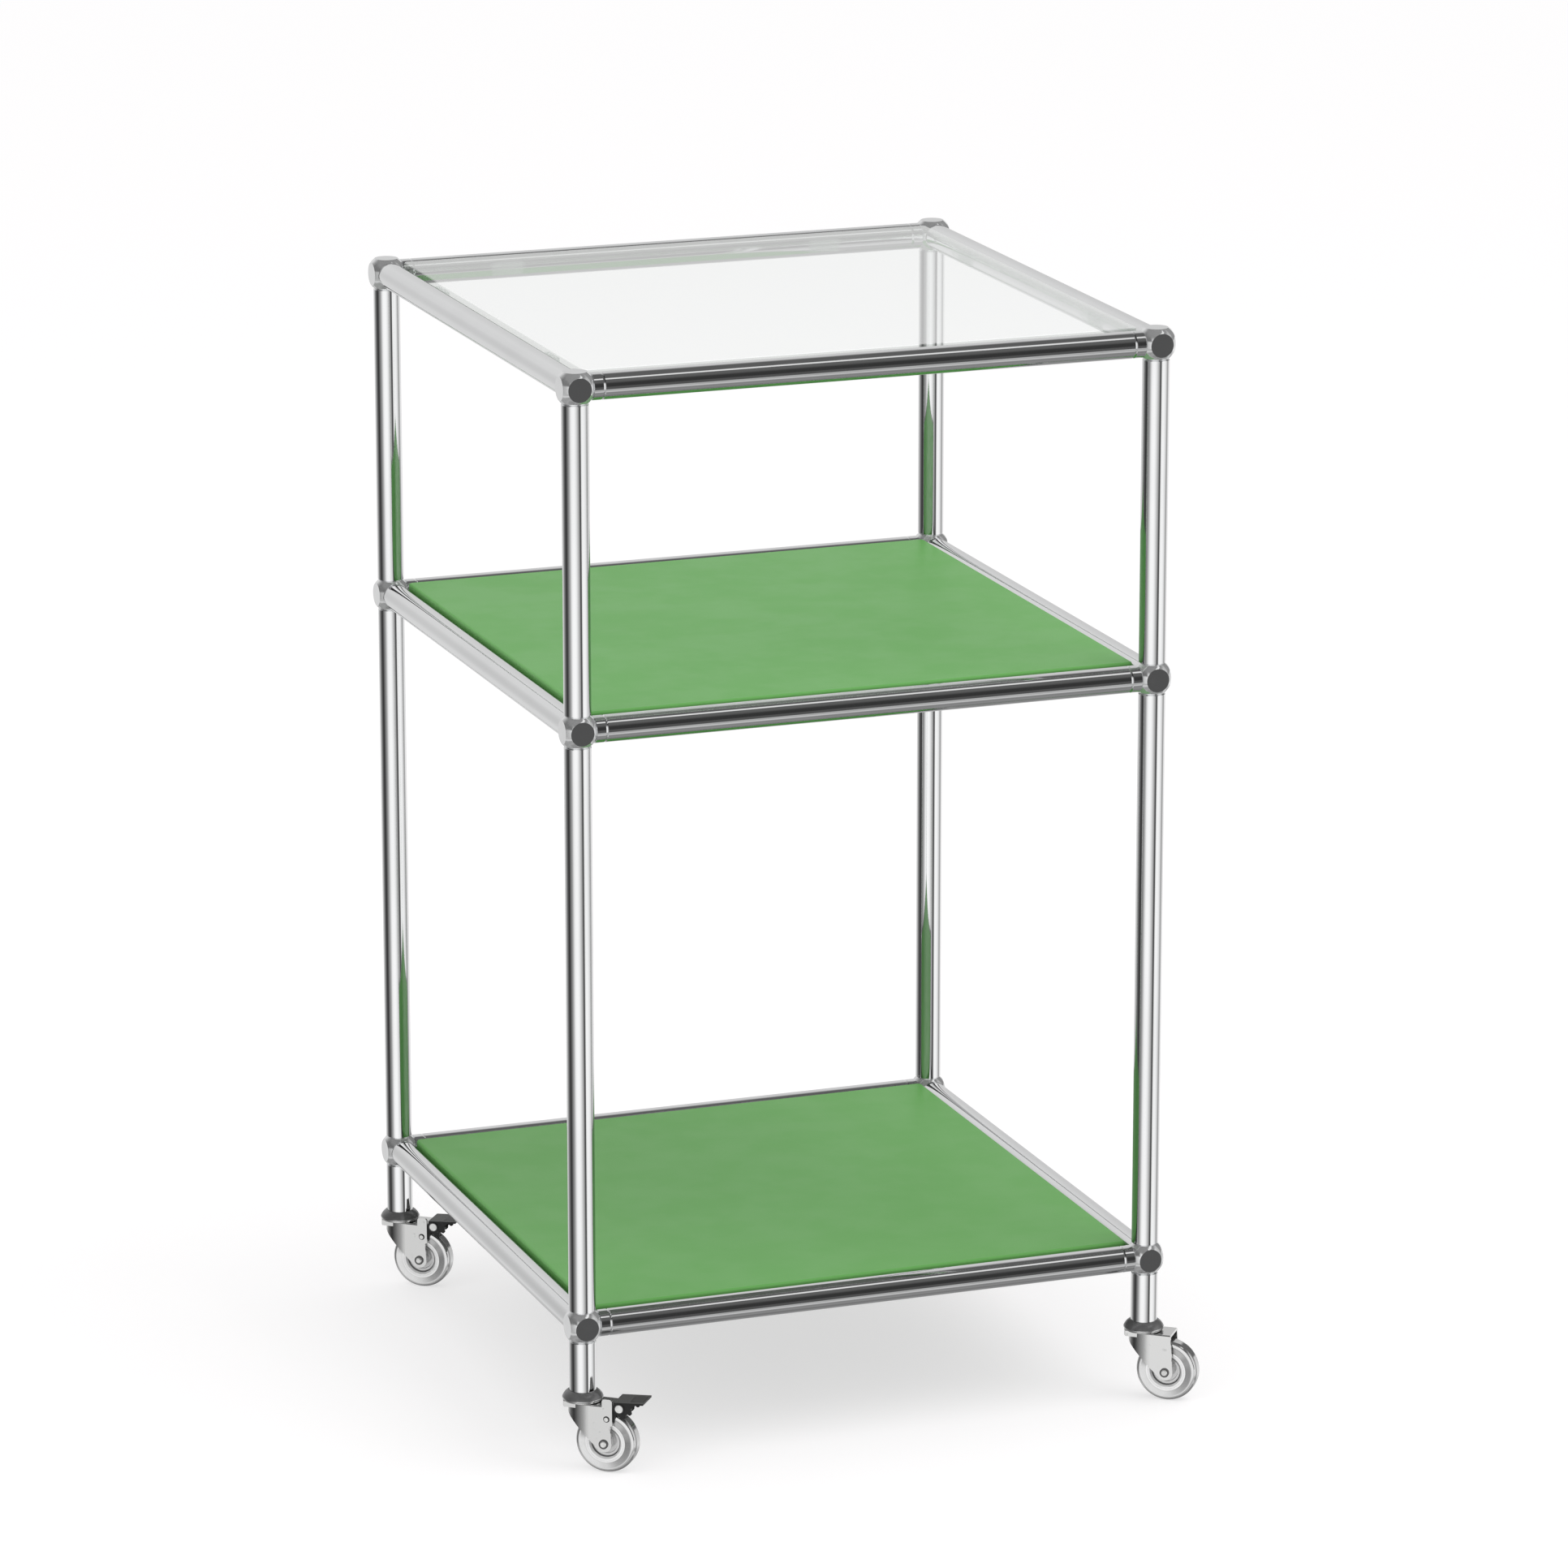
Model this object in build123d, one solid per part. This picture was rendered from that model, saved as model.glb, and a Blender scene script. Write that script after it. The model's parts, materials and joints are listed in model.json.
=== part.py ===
from build123d import *
import math
import os

# A three-tier trolley on four swivel casters: a frame of chrome tubes screwed into ball connectors,
# a glass top, two folded steel shelves, and a foot brake on each caster of the left side.
# Millimetres. +X is the trolley's right, -Y its front and +Z up. The origin is on the floor, under the
# middle of the frame.

# frame
post_pitch = 380.0          # from post to post, centre to centre, both ways
lower_bay = 382.5           # bottom tier to middle tier
upper_bay = 213.5           # middle tier to top tier
short_post = 33.0           # tube between a bottom ball and its caster
tube_d = 17.0
tube_wall = 1.5
tube_edge = 0.3             # chamfer on a tube's end
ball_d = 25.0
ball_flat = 10.0            # ball centre to each flat
sleeve_length = 6.5         # locking sleeve at the ends of a front or back rail
sleeve_edge = 0.7           # chamfers that meet in the ring line between sleeve and rail

# fastenings inside the tubes
stud_d = 6.0
stud_start = 3.4            # ball centre to the stud's inner end
plug_length = 12.0
thread_clearance = 0.05     # radial, between a stud and its hole
plug_clearance = 0.05       # radial, between a plug and its tube

# shelves and glass
edge_gap = 0.3              # between a rail and the edge of a shelf or of the glass
sheet = 1.0
flange = 12.0               # depth of the shelf's folded edge
bend_radius = 1.8
panel_corner = 3.0
glass_thickness = 5.0
glass_edge = 0.5            # polished chamfer on the glass

# clips that hold the shelves and the glass on the rails
clip_length = 20.0
clip_offset = 110.0         # from the middle of a rail to each clip
clip_drop = 4.5             # foot of a shelf clip, below the folded edge
clip_lip = 2.0              # upstand inside the folded edge
clip_lip_height = 5.5
clip_fit = 0.3              # between the upstand and the folded edge
saddle_clearance = 0.1      # between a clip and its rail
glass_clip_reach = 14.0     # rail centre to the clip's inner end
glass_clip_depth = 8.5
glass_clip_nose = 2.0       # thickness at the inner end

# caster wheel
wheel_d = 40.0
tyre_width = 12.0
tyre_round = 3.4
hub_d = 24.0
hub_seat_clearance = 0.05
hub_boss_d = 9.0
hub_boss_width = 14.0
hub_draft = 0.4
hub_web = 5.6               # thickness of the hub between its boss and its step
hub_step = 7.6              # thickness at the step
hub_step_d = 15.2
hub_dish_d = 17.6
hub_rim = 2.0
hub_rim_edge = 0.7
axle_d = 5.0
axle_head_d = 6.0
axle_head = 0.8
axle_dome_d = 4.0
axle_dome = 0.6
head_edge = 0.4             # bevel round a rivet's head
running_clearance = 0.06    # radial, between a shaft and what turns on it
fixed_clearance = 0.02      # radial, between a shaft and the piece that holds it

# caster fork, in its own frame: t runs from the swivel axis towards the axle, u along the axle
heading = -38.0             # degrees from +X to t, at rest
trail = 16.5
fork_width = 18.0
fork_sheet = 1.6
tyre_headroom = 5.2         # top of the tyre to the top of the fork
fork_eye = 5.2              # radius of the fork's lower end
fork_tip = 9.6              # swivel axis to the foremost point
fork_bend = 6.5             # swivel axis to where the sides become flat
fork_rear = 20.0            # swivel axis to the top of the rear edge
fork_brow = 7.2             # top of the fork to the foot of its upright front
fork_crease = 1.2           # bend radius round the top
lip_d = 25.0                # round lip in front of the nose, about the swivel axis
lip_width = 15.0
lip_height = 3.6
lip_sheet = 1.0

# braked fork
braked_rear = 22.2          # swivel axis to the rear edge, above its step
ear_start = 15.5
ear_height = 4.6
ear_round = 2.0
step_depth = 1.6
step_rise = 12.4            # axle to the step in the rear edge

# swivel
stem_d = 8.0
stem_head_d = 11.0
stem_head = 1.6
stem_reach = 15.0           # length of stem inside the post
swivel_gap = 0.5
ring_d = 25.0
ring_height = 0.9
ring_edge = 0.25
cap_d = 26.0
cap_height = 5.4
cap_band = 0.8              # upright lower edge of the cap
cap_neck_d = 18.0
cap_swell = 0.5             # how far the cap's dome bulges from a cone
cap_lip = 0.3               # rounding of the cap's lower edge
socket_depth = 1.0          # how far the post stands in the cap
socket_clearance = 0.05
race_d = 18.0
race_ball_d = 1.6
race_ball_count = 12
race_clearance = 0.05

# brake
lever_pin_t = 26.9
lever_pin_drop = 0.8        # top of the fork to the lever pin
lever_pin_d = 3.0
lever_pin_head_d = 6.0
lever_pin_head = 0.9
lever_sheet = 1.0
lever_gap = 0.1             # between a cheek and what lies beside it
lever_round = 4.4           # radius of a cheek round the pin
lock_angle = 25.0
pad_d = 3.2
pad_angle = 62.0            # from t to the locked pad, seen from the axle
pad_gap = 0.4               # between the locked pad and the tyre
pad_round = 2.2             # radius of a cheek round the pad
pedal_start = 23.2
pedal_end = 42.4
pedal_sheet = 1.2
pedal_tilt = 3.5
pedal_rise = 3.9            # lever pin to the pedal's top, above the pin
cheek_reach = 11.0          # lever pin to the cheek's rear, under the pedal
release = (6.6, -2.4)       # lever pin to the release nub's middle
release_d = 2.8
bracket_sheet = 0.9
bracket_start = 14.5
bracket_round = 2.0         # radius of the bracket round the lever pin
bracket_heel = (21.6, 12.4) # t, and height over the axle, of its lowest point
bracket_knee = (22.8, 15.4)
bracket_toe_rise = 15.0
bracket_bridge = 1.0
bracket_bridge_gap = 0.5    # under the fork's top
rivet_t = 18.5
rivet_rise = 16.7
rivet_d = 3.0
rivet_head_d = 4.2
rivet_head = 0.8

# worked out from the sizes above
tube_r = tube_d / 2
half_pitch = post_pitch / 2
wheel_r = wheel_d / 2
fork_top = wheel_d + tyre_headroom
ring_base = fork_top + swivel_gap
cap_base = ring_base + ring_height
cap_top = cap_base + cap_height
post_foot = cap_top - socket_depth
bottom_level = post_foot + short_post + ball_flat
middle_level = bottom_level + lower_bay
top_level = middle_level + upper_bay
levels = {"bottom": bottom_level, "middle": middle_level, "top": top_level}
corners = {
    "front_left": (-1, -1),
    "front_right": (1, -1),
    "back_left": (-1, 1),
    "back_right": (1, 1),
}
braked = ("front_left", "back_left")
panel_size = 2 * (half_pitch - tube_r - edge_gap)
plug_d = tube_d - 2 * tube_wall - 2 * plug_clearance
stud_hole_r = stud_d / 2 + thread_clearance
fork_inside = fork_width / 2 - fork_sheet
lever_pin = (lever_pin_t, fork_top - lever_pin_drop)


def save(name, *solids):
    shape = solids[0] if len(solids) == 1 else Compound(list(solids))
    export_step(shape, f"parts/{name}.step")


def turned(points, axis=Axis.Z):
    """A solid turned about Z from (radius, height) points, or about Y from (radius, offset) points."""
    plane = Plane.XZ if axis == Axis.Z else Plane.XY
    return revolve(make_face(plane * Polyline(*points, close=True)), axis)


def rod(start, end, radius):
    """A round bar between two points."""
    start, end = Vector(*start), Vector(*end)
    way = end - start
    return Plane(origin=(start + end) / 2, z_dir=way) * Cylinder(radius, way.length)


def side_plate(outline, near, far):
    """A (t, z) outline made into a plate from u = near to u = far."""
    return extrude(Plane.XZ.offset(-far) * outline, far - near)


def both_sides(outline, near, far):
    return side_plate(outline, near, far) + side_plate(outline, -far, -near)


def disc(centre, radius):
    return Pos(*centre) * Circle(radius)


def corner_xy(corner):
    across, along = corners[corner]
    return across * half_pitch, along * half_pitch


# ---- frame ----

def joints_of(corner, level):
    """The directions in which tubes leave the ball at a corner of a level."""
    across, along = corners[corner]
    ways = [(-across, 0, 0), (0, -along, 0), (0, 0, -1)]
    return ways if level == "top" else ways + [(0, 0, 1)]


def ball(corner, level):
    body = Sphere(ball_d / 2) & Box(2 * ball_flat, 2 * ball_flat, 2 * ball_flat)
    for way in joints_of(corner, level):
        way = Vector(*way)
        body -= rod(way * stud_start, way * ball_d / 2, stud_hole_r)
    return Pos(*corner_xy(corner), levels[level]) * body


def tube(length, edge):
    bore = tube_r - tube_wall
    half = length / 2
    return turned([
        (bore, -half), (tube_r - edge, -half), (tube_r, edge - half),
        (tube_r, half - edge), (tube_r - edge, half), (bore, half),
    ])


def end_plug(hole_r):
    """A threaded plug, standing on Z = 0."""
    return Pos(0, 0, plug_length / 2) * (
        Cylinder(plug_d / 2, plug_length) - Cylinder(hole_r, plug_length)
    )


def sleeve():
    """A locking sleeve, from the ball's flat at Z = 0 to the ring line at its far end."""
    return turned([
        (stud_hole_r, 0), (tube_r, 0), (tube_r, sleeve_length - sleeve_edge),
        (tube_r - sleeve_edge, sleeve_length), (stud_hole_r, sleeve_length),
    ])


def make_frame():
    balls, plugs, studs, sleeves = [], [], [], []
    for level, height in levels.items():
        for corner in corners:
            balls.append(ball(corner, level))
            for way in joints_of(corner, level):
                centre = Vector(*corner_xy(corner), height)
                way = Vector(*way)
                on_flat = Plane(origin=centre + way * ball_flat, z_dir=way)
                gap = 0.0
                if way.X:
                    gap = sleeve_length
                    sleeves.append(on_flat * sleeve())
                plugs.append(on_flat * Pos(0, 0, gap) * end_plug(stud_hole_r))
                stud_end = ball_flat + gap + plug_length
                studs.append(rod(centre + way * stud_start, centre + way * stud_end, stud_d / 2))
    for corner in corners:
        foot = Pos(*corner_xy(corner), post_foot)
        plugs.append(foot * end_plug(stem_d / 2 + thread_clearance))
    save("corner_balls", *balls)
    save("tube_plugs", *plugs)
    save("ball_studs", *studs)
    save("rail_sleeves", *sleeves)


def make_posts():
    rises = {
        "lower": (post_foot, bottom_level - ball_flat),
        "middle": (bottom_level + ball_flat, middle_level - ball_flat),
        "upper": (middle_level + ball_flat, top_level - ball_flat),
    }
    for tier, (low, high) in rises.items():
        for corner in corners:
            place = Pos(*corner_xy(corner), (low + high) / 2)
            save(f"post_{tier}_{corner}", place * tube(high - low, tube_edge))


def make_rails():
    across = Rot(0, 90, 0) * tube(post_pitch - 2 * (ball_flat + sleeve_length), sleeve_edge)
    along = Rot(90, 0, 0) * tube(post_pitch - 2 * ball_flat, tube_edge)
    for level, height in levels.items():
        save(f"rail_{level}_front", Pos(0, -half_pitch, height) * across)
        save(f"rail_{level}_back", Pos(0, half_pitch, height) * across)
        save(f"rail_{level}_left", Pos(-half_pitch, 0, height) * along)
        save(f"rail_{level}_right", Pos(half_pitch, 0, height) * along)


# ---- shelves and glass ----

def pan(size, depth, corner, bend):
    block = extrude(RectangleRounded(size, size, corner), depth)
    return fillet(block.faces().sort_by(Axis.Z)[-1].edges(), bend)


def shelf():
    """A folded shelf with its top at Z = 0."""
    outside = pan(panel_size, flange, panel_corner, bend_radius)
    inside = pan(
        panel_size - 2 * sheet, flange - sheet, panel_corner - sheet, bend_radius - sheet
    )
    return Pos(0, 0, -flange) * (outside - inside)


def glass():
    """The glass plate with its top at Z = 0."""
    plate = extrude(RectangleRounded(panel_size, panel_size, panel_corner), -glass_thickness)
    rims = plate.faces().sort_by(Axis.Z)
    return chamfer(rims[0].edges() + rims[-1].edges(), glass_edge)


def clip(outline):
    """A clip of the given (distance from the rail, height) outline, saddled on a rail along Y."""
    block = extrude(Plane.XZ.offset(-clip_length / 2) * outline, clip_length)
    return block - Rot(90, 0, 0) * Cylinder(tube_r + saddle_clearance, 2 * clip_length)


def shelf_clip():
    seat = tube_r - flange
    foot = seat - clip_drop
    lip = tube_r + edge_gap + sheet + clip_fit
    root = lip - tube_r / 2 - clip_lip
    top = seat + clip_lip_height
    return clip(make_face(Polyline(
        (root, foot), (lip + clip_lip, foot), (lip + clip_lip, top),
        (lip, top), (lip, seat), (root, seat), close=True,
    )))


def glass_clip():
    seat = tube_r - glass_thickness
    foot = seat - glass_clip_depth
    root = tube_r / 2
    return clip(make_face(Polyline(
        (root, foot), (tube_r, foot), (glass_clip_reach, seat - glass_clip_nose),
        (glass_clip_reach, seat), (root, seat), close=True,
    )))


def round_the_rails(piece, height):
    """Copies of a clip, two on each rail of a level."""
    return [
        Pos(0, 0, height) * Rot(0, 0, 90 * side) * Pos(-half_pitch, place, 0) * piece
        for side in range(4)
        for place in (-clip_offset, clip_offset)
    ]


def make_shelves():
    for level in ("bottom", "middle"):
        save(f"shelf_{level}", Pos(0, 0, levels[level] + tube_r) * shelf())
        save(f"shelf_clips_{level}", *round_the_rails(shelf_clip(), levels[level]))
    save("glass_top", Pos(0, 0, top_level + tube_r) * glass())
    save("glass_clips", *round_the_rails(glass_clip(), top_level))


# ---- casters ----

def caster_place(corner):
    return Pos(*corner_xy(corner), 0) * Rot(0, 0, heading)


def make_swivels():
    """What stands still above the forks: stems, caps, bearing rings and bearing balls."""
    bore = stem_d / 2 + fixed_clearance
    groove = Pos(0, 0, cap_base) * Torus(race_d / 2, race_ball_d / 2 + race_clearance)
    head_top = fork_top - fork_sheet - swivel_gap
    stem_top = post_foot + stem_reach
    stem = turned([
        (0, head_top - stem_head), (stem_head_d / 2, head_top - stem_head),
        (stem_head_d / 2, head_top), (stem_d / 2, head_top), (stem_d / 2, stem_top), (0, stem_top),
    ])
    ring = turned([
        (bore, ring_base), (ring_d / 2 - ring_edge, ring_base), (ring_d / 2, ring_base + ring_edge),
        (ring_d / 2, cap_base - ring_edge), (ring_d / 2 - ring_edge, cap_base), (bore, cap_base),
    ]) - groove
    socket_r = tube_r + socket_clearance
    rim_r = cap_d / 2
    shoulder = Vector(rim_r, cap_base + cap_band)
    neck = Vector(cap_neck_d / 2, cap_top)
    slope = neck - shoulder
    swell = (shoulder + neck) / 2 + Vector(slope.Y, -slope.X).normalized() * cap_swell
    outline = Plane.XZ * (
        Polyline(neck, (socket_r, cap_top), (socket_r, post_foot), (bore, post_foot), (bore, cap_base),
                 (rim_r - cap_lip, cap_base), (rim_r, cap_base + cap_lip), shoulder)
        + ThreePointArc(shoulder, swell, neck)
    )
    cap = revolve(make_face(outline), Axis.Z) - groove
    balls = [
        Pos(0, 0, cap_base) * spot * Sphere(race_ball_d / 2)
        for spot in PolarLocations(race_d / 2, race_ball_count)
    ]
    places = [caster_place(corner) for corner in corners]
    save("caster_stems", *[place * stem for place in places])
    save("caster_caps", *[place * cap for place in places])
    save("swivel_rings", *[place * ring for place in places])
    save("swivel_balls", *[place * piece for place in places for piece in balls])


def tangent_point(start, centre, radius):
    """Where the line from start touches the lower left of a circle."""
    across, rise = start[0] - centre[0], start[1] - centre[1]
    angle = math.atan2(rise, across) + math.acos(radius / math.hypot(across, rise))
    return centre[0] + radius * math.cos(angle), centre[1] + radius * math.sin(angle)


def fork_plan(inset, rear):
    """The fork seen from above: a half ellipse in front of two straight sides."""
    width = fork_width - 2 * inset
    nose = Pos(fork_bend, 0) * Ellipse(fork_bend + fork_tip - inset, width / 2)
    return nose + Pos((fork_bend + rear) / 2, 0) * Rectangle(rear - fork_bend, width)


def fork_side(has_brake):
    """The fork seen from the side, in (t, z)."""
    axle = (trail, wheel_r)
    brow = (-2 * fork_tip, fork_top - fork_brow)
    chin = (-fork_tip, fork_top - fork_brow)
    rear = [(trail + fork_eye, wheel_r), (fork_rear, fork_top)]
    if has_brake:
        step = wheel_r + step_rise
        rear = [
            (trail + fork_eye, wheel_r), (braked_rear - step_depth, step),
            (braked_rear, step), (braked_rear, fork_top),
        ]
    outline = [(brow[0], fork_top), brow, chin, tangent_point(chin, axle, fork_eye), axle, *rear]
    return make_face(Polyline(*outline, close=True)) + disc(axle, fork_eye)


def fork_lip():
    """The round lip at the top of the fork, with its edge turned down."""
    def plan(inset):
        width = lip_width - 2 * inset
        return Circle(lip_d / 2 - inset) & Pos(-lip_d / 2, 0) * Rectangle(lip_d, width)

    lip = Pos(0, 0, fork_top - lip_height) * extrude(plan(0), lip_height)
    return lip - extrude(plan(lip_sheet), fork_top - lip_sheet)


def fork(has_brake):
    reach = braked_rear if has_brake else fork_rear
    block = extrude(fork_plan(0, reach + fork_eye), fork_top)
    edges = block.faces().sort_by(Axis.Z)[-1].edges().sort_by(Axis.X)[:-1]
    block = fillet(edges, fork_crease) & side_plate(fork_side(has_brake), -fork_width, fork_width)
    body = block + fork_lip() - extrude(fork_plan(fork_sheet, 2 * reach), fork_top - fork_sheet)
    if has_brake:
        ear = make_face(Polyline(
            (ear_start, fork_top - fork_sheet), (reach, fork_top - fork_sheet),
            (reach, fork_top + ear_height), (ear_start, fork_top + ear_height), close=True,
        ))
        ear = fillet(ear.vertices().group_by(Axis.Y)[-1], ear_round)
        body += side_plate(ear, -fork_width / 2, -fork_inside)
        body -= side_plate(disc((rivet_t, wheel_r + rivet_rise), rivet_d / 2 + fixed_clearance),
                           -fork_width, fork_width)
    body -= side_plate(disc((trail, wheel_r), axle_d / 2 + fixed_clearance), -fork_width, fork_width)
    return body - Pos(0, 0, fork_top) * Cylinder(stem_d / 2 + running_clearance, fork_top / 2)


def axle():
    """A rivet with a stepped head at each side of the fork."""
    outside = fork_width / 2
    head = outside + axle_head
    half = [
        (axle_d / 2, outside), (axle_head_d / 2, outside), (axle_head_d / 2, head),
        (axle_dome_d / 2, head), (axle_dome_d / 2 - head_edge, head + axle_dome), (0, head + axle_dome),
    ]
    other = [(radius, -offset) for radius, offset in reversed(half)]
    return Pos(trail, 0, wheel_r) * turned(half + other, Axis.Y)


def hub():
    """The wheel's centre: a boss, a stepped web and a raised rim, alike on both sides."""
    bore = axle_d / 2 + running_clearance
    boss = hub_boss_d / 2
    rim = hub_d / 2
    side = tyre_width / 2
    half = [
        (bore, hub_boss_width / 2), (boss, hub_boss_width / 2), (boss + hub_draft, hub_web / 2),
        (hub_step_d / 2 - hub_draft, hub_web / 2), (hub_step_d / 2, hub_step / 2),
        (hub_dish_d / 2, hub_step / 2), (rim - hub_rim, side - hub_rim_edge),
        (rim - hub_rim + hub_rim_edge, side), (rim, side),
    ]
    other = [(radius, -offset) for radius, offset in reversed(half)]
    return Pos(trail, 0, wheel_r) * turned(half + other, Axis.Y)


def tyre():
    ring = Cylinder(wheel_r, tyre_width)
    ring = fillet(ring.edges().filter_by(GeomType.CIRCLE), tyre_round)
    ring -= Cylinder(hub_d / 2 + hub_seat_clearance, 2 * tyre_width)
    return Pos(trail, 0, wheel_r) * Rot(90, 0, 0) * ring


# ---- brake ----

def pad_centre(angle):
    """Where the brake pad is, with the lever tipped by an angle towards its lock."""
    reach = wheel_r + pad_gap + pad_d / 2
    turn = math.radians(pad_angle)
    locked = (trail + reach * math.cos(turn), wheel_r + reach * math.sin(turn))
    back = math.radians(lock_angle - angle)
    across, rise = locked[0] - lever_pin[0], locked[1] - lever_pin[1]
    return (
        lever_pin[0] + across * math.cos(back) - rise * math.sin(back),
        lever_pin[1] + across * math.sin(back) + rise * math.cos(back),
    )


def from_pin(across, rise):
    return lever_pin[0] + across, lever_pin[1] + rise


def brake_lever():
    """The pedal, its two cheeks folded down, and the pad bar between them."""
    pad = pad_centre(0)
    slope = math.tan(math.radians(pedal_tilt))
    inner = fork_inside + lever_gap
    outer = inner + lever_sheet
    nub = from_pin(*release)
    nub_r = release_d / 2

    def pedal_top(t):
        return lever_pin[1] + pedal_rise + (t - lever_pin[0]) * slope

    def under_pedal(t):
        return t, pedal_top(t) - pedal_sheet / 2

    cheek = make_hull(disc(lever_pin, lever_round).edges() + disc(pad, pad_round).edges())
    cheek += make_face(Polyline(
        under_pedal(pedal_start), (pedal_start, lever_pin[1]), pad, nub,
        (nub[0] + nub_r, nub[1] + nub_r), from_pin(cheek_reach * 2 / 3, nub_r / 2),
        under_pedal(lever_pin[0] + cheek_reach), close=True,
    ))
    cheek += disc(nub, nub_r)
    cheek &= make_face(Polyline(
        (fork_rear, 0), (pedal_end, 0), under_pedal(pedal_end), under_pedal(fork_rear), close=True,
    ))
    lever = both_sides(cheek - disc(lever_pin, lever_pin_d / 2 + running_clearance), inner, outer)
    pedal = make_face(Polyline(
        (pedal_start, pedal_top(pedal_start)), (pedal_end, pedal_top(pedal_end)),
        (pedal_end, pedal_top(pedal_end) - pedal_sheet),
        (pedal_start, pedal_top(pedal_start) - pedal_sheet), close=True,
    ))
    return lever + side_plate(pedal, -outer, outer) + side_plate(disc(pad, pad_d / 2), -inner, inner)


def bracket_wing():
    pin_r = bracket_round
    lip = fork_top - fork_sheet - bracket_bridge_gap
    slant = pin_r * math.cos(math.radians(45))
    wing = make_face(Polyline(
        (bracket_start, lip), (bracket_start, wheel_r + bracket_toe_rise),
        (bracket_heel[0], wheel_r + bracket_heel[1]), (bracket_knee[0], wheel_r + bracket_knee[1]),
        from_pin(-slant, -slant), lever_pin, from_pin(0, pin_r), (braked_rear, lip + pin_r / 2),
        (braked_rear, lip), close=True,
    ))
    wing += disc(lever_pin, pin_r)
    wing -= disc(lever_pin, lever_pin_d / 2 + fixed_clearance)
    return wing - disc((rivet_t, wheel_r + rivet_rise), rivet_d / 2 + fixed_clearance)


def brake_bracket():
    """A pair of wings riveted inside the fork, joined by a bridge under its top."""
    lip = fork_top - fork_sheet - bracket_bridge_gap
    wings = both_sides(bracket_wing(), fork_inside - bracket_sheet, fork_inside)
    bridge = make_face(Polyline(
        (bracket_start, lip), (braked_rear, lip), (braked_rear, lip - bracket_bridge),
        (bracket_start, lip - bracket_bridge), close=True,
    ))
    return wings + side_plate(bridge, -fork_inside, fork_inside)


def brake_pins():
    """The lever's pin, and the short rivets that hold the bracket in the fork."""
    outside = fork_inside + lever_gap + lever_sheet + lever_gap
    half = [(lever_pin_d / 2, outside), (lever_pin_head_d / 2, outside),
            (lever_pin_head_d / 2, outside + lever_pin_head), (0, outside + lever_pin_head)]
    other = [(radius, -offset) for radius, offset in reversed(half)]
    pin = Pos(lever_pin[0], 0, lever_pin[1]) * turned(half + other, Axis.Y)
    side = fork_width / 2
    rivet = turned([
        (0, fork_inside - bracket_sheet), (rivet_d / 2, fork_inside - bracket_sheet), (rivet_d / 2, side),
        (rivet_head_d / 2, side), (rivet_head_d / 2 - head_edge, side + rivet_head), (0, side + rivet_head),
    ], Axis.Y)
    seat = Pos(rivet_t, 0, wheel_r + rivet_rise)
    return [pin, seat * rivet, seat * Rot(0, 0, 180) * rivet]


def make_casters():
    plain_fork, braked_fork = fork(False), fork(True)
    for corner in corners:
        place = caster_place(corner)
        has_brake = corner in braked
        save(f"fork_{corner}", place * (braked_fork if has_brake else plain_fork))
        save(f"axle_{corner}", place * axle())
        save(f"wheel_hub_{corner}", place * hub())
        save(f"tyre_{corner}", place * tyre())
        if has_brake:
            save(f"brake_lever_{corner}", place * brake_lever())
            save(f"brake_bracket_{corner}", place * brake_bracket())
            save(f"brake_pins_{corner}", *[place * piece for piece in brake_pins()])


os.makedirs("parts", exist_ok=True)
make_frame()
make_posts()
make_rails()
make_shelves()
make_swivels()
make_casters()
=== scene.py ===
import bpy
import json
import math
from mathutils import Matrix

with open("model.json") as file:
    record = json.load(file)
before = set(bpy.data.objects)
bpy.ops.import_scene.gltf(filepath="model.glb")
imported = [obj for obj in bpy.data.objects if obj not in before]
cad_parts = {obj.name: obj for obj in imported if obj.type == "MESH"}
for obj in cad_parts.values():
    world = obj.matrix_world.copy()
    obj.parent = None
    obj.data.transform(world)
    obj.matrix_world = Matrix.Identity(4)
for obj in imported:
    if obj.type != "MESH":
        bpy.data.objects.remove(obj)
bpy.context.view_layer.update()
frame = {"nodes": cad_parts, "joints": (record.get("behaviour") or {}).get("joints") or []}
nodes = frame["nodes"]
joints = {joint["name"]: joint for joint in frame["joints"]}
corners = ("front_left", "front_right", "back_left", "back_right")
braked = ("front_left", "back_left")


view = {
    "place": (-1.5826, -4.3145, 1.6154),
    "turn": (74.919, 0.031, -20.321),      # degrees
    "lens": 169.47, "sensor": 36,          # millimetres
    "farthest": 50,                        # metres
}


def placeCamera():
    camera = bpy.data.objects.new("camera", bpy.data.cameras.new("camera"))
    bpy.context.scene.collection.objects.link(camera)
    camera.location = view["place"]
    camera.rotation_euler = [math.radians(angle) for angle in view["turn"]]
    camera.data.lens = view["lens"]
    camera.data.sensor_width = view["sensor"]
    camera.data.clip_end = view["farthest"]
    bpy.context.scene.camera = camera
    bpy.context.scene.view_settings.view_transform = "Standard"


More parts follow.
